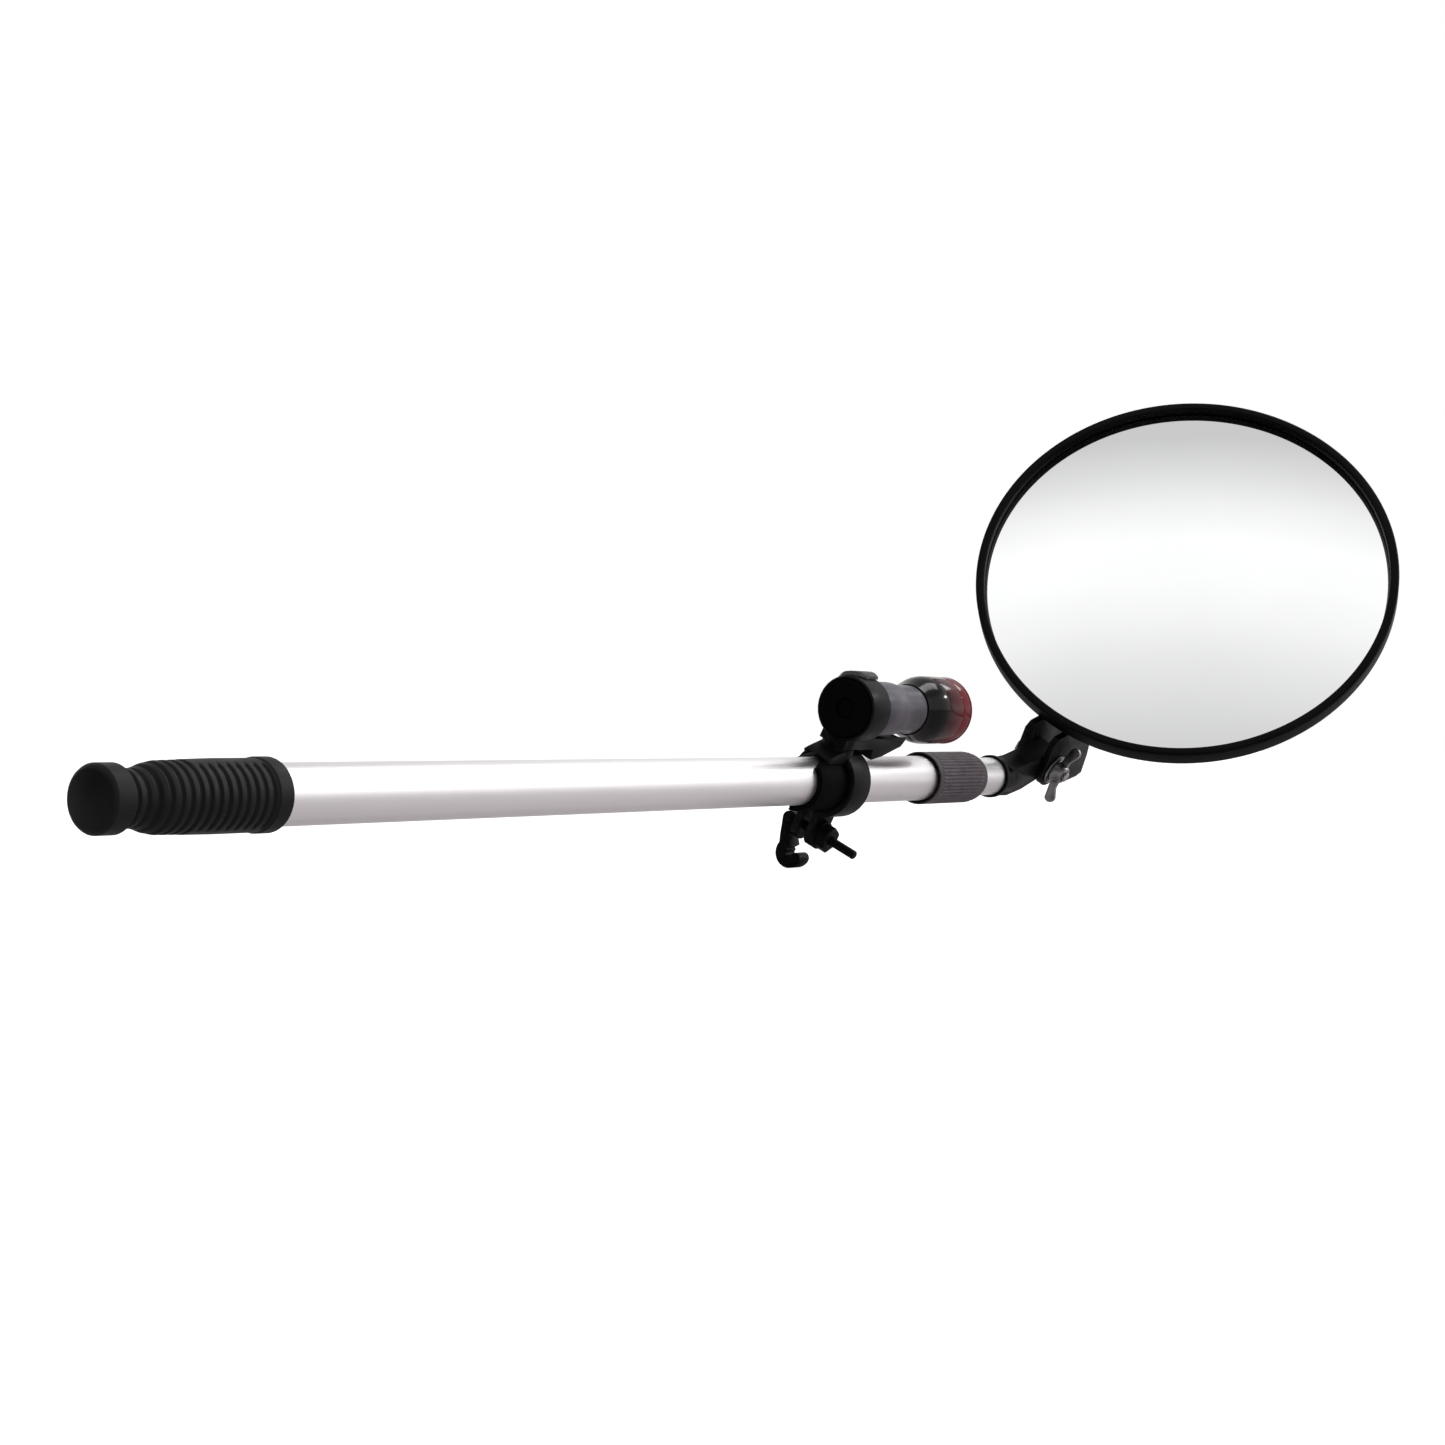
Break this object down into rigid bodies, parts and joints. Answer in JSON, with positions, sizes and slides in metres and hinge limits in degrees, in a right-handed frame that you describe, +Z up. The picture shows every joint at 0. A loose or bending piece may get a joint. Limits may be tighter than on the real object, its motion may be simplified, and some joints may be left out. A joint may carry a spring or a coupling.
{
  "type": "telescoping inspection mirror",
  "caption": "Telescoping pole with a rubber grip, a twist lock, a clamped torch and a round convex mirror on a swivelling, tilting head.",
  "frame": {"origin": "centre of the flat end face of the rubber grip", "axes": "+X runs along the pole towards the mirror, +Z is up with the pole held level, -Y is the side with the wing nut"},
  "size_m": [0.8827, 0.2442, 0.282],
  "materials": {
    "black_rubber": "ribbed and smooth black rubber",
    "satin_aluminium": "satin anodised tube",
    "black_plastic": "black moulded plastic",
    "grey_plastic": "dark grey moulded plastic",
    "zinc_plated_steel": "zinc plated",
    "silvered_mirror": "convex silvered face",
    "anodised_torch": "dark anodised",
    "gloss_black": "gloss black",
    "dark_red_plastic": "dark red, glossy",
    "clear_lens": "clear",
    "brass": "turned",
    "cell_wrap": "shrink wrap on a lithium cell",
    "spring_steel": "spring wire"
  },
  "bodies": {
    "handle": {"grip": "black_rubber", "outer_tube": "satin_aluminium", "lock_sleeve": "black_plastic", "lock_collet": "grey_plastic"},
    "twist_collar": {"twist_collar": "grey_plastic"},
    "inner_pole": {"inner_tube": "satin_aluminium", "guide_bush": "grey_plastic", "pole_ferrule": "black_plastic"},
    "knuckle": {"knuckle": "black_plastic", "swivel_pin": "zinc_plated_steel", "pivot_bolt": "zinc_plated_steel", "pivot_washer": "zinc_plated_steel", "bolt_washer": "zinc_plated_steel"},
    "wing_nut": {"wing_nut": "zinc_plated_steel"},
    "mirror": {"mirror_bracket": "black_plastic", "bracket_screw_1": "zinc_plated_steel", "bracket_screw_2": "zinc_plated_steel", "bracket_screw_3": "zinc_plated_steel", "mirror_back": "black_plastic", "mirror_rim": "black_rubber", "mirror_glass": "silvered_mirror"},
    "clamp_liner": {"clamp_liner": "black_rubber"},
    "pole_clamp": {"pole_clamp": "black_plastic", "clamp_rod": "black_plastic", "cam_pin": "zinc_plated_steel"},
    "adjusting_nut": {"adjusting_nut": "black_plastic"},
    "cam_lever": {"cam_lever": "black_plastic"},
    "torch": {"torch_holder": "black_plastic", "swivel_screw": "zinc_plated_steel", "torch_liner": "black_rubber", "holder_pad": "grey_plastic", "torch_body": "anodised_torch", "led_pill": "brass", "battery_cell": "cell_wrap", "tail_cap": "black_rubber", "tail_spring": "spring_steel"},
    "torch_head": {"torch_head": "gloss_black", "bezel_ring": "dark_red_plastic", "lens_ring": "gloss_black", "torch_lens": "clear_lens"},
    "tail_button": {"tail_button": "black_rubber"}
  },
  "joints": [
    {"name": "twist_lock", "type": "hinge", "parent": "handle", "child": "twist_collar", "pos_m": [0.611, 0, 0], "axis": [1, 0, 0], "range_deg": [0, 90]},
    {"name": "pole_extend", "type": "slide", "parent": "handle", "child": "inner_pole", "axis": [1, 0, 0], "range_m": [0, 0.45]},
    {"name": "head_swivel", "type": "hinge", "parent": "inner_pole", "child": "knuckle", "pos_m": [0.702, 0, 0], "axis": [1, 0, 0], "range_deg": [-180, 180]},
    {"name": "wing_nut_turn", "type": "hinge", "parent": "knuckle", "child": "wing_nut", "pos_m": [0.7535, -0.00648, 0.0101], "axis": [0, -0.8415, -0.5402], "range_deg": [0, 360]},
    {"name": "mirror_tilt", "type": "hinge", "parent": "knuckle", "child": "mirror", "pos_m": [0.7535, -0.00648, 0.0101], "axis": [0, -0.8415, -0.5402], "range_deg": [-75, 30]},
    {"name": "clamp_slide", "type": "slide", "parent": "handle", "child": "clamp_liner", "axis": [1, 0, 0], "range_m": [-0.35, 0.08]},
    {"name": "clamp_turn", "type": "hinge", "parent": "clamp_liner", "child": "pole_clamp", "pos_m": [0.515, 0, 0], "axis": [1, 0, 0], "range_deg": [-180, 180]},
    {"name": "adjusting_nut_turn", "type": "hinge", "parent": "pole_clamp", "child": "adjusting_nut", "pos_m": [0.515, 0.01298, -0.02548], "axis": [0, -0.891, -0.454], "range_deg": [0, 360]},
    {"name": "cam_lever_open", "type": "hinge", "parent": "pole_clamp", "child": "cam_lever", "pos_m": [0.515, 0.02278, -0.02049], "axis": [1, 0, 0], "range_deg": [0, 150]},
    {"name": "torch_swivel", "type": "hinge", "parent": "pole_clamp", "child": "torch", "pos_m": [0.506, 0, 0], "axis": [0, -0.454, 0.891], "range_deg": [-180, 180]},
    {"name": "torch_focus", "type": "slide", "parent": "torch", "child": "torch_head", "axis": [1, 0, 0], "range_m": [0, 0.008]},
    {"name": "tail_switch", "type": "slide", "parent": "torch", "child": "tail_button", "axis": [1, 0, 0], "range_m": [0, 0.0012], "stiffness_N_per_m": 600, "springref_m": -0.002}
  ]
}
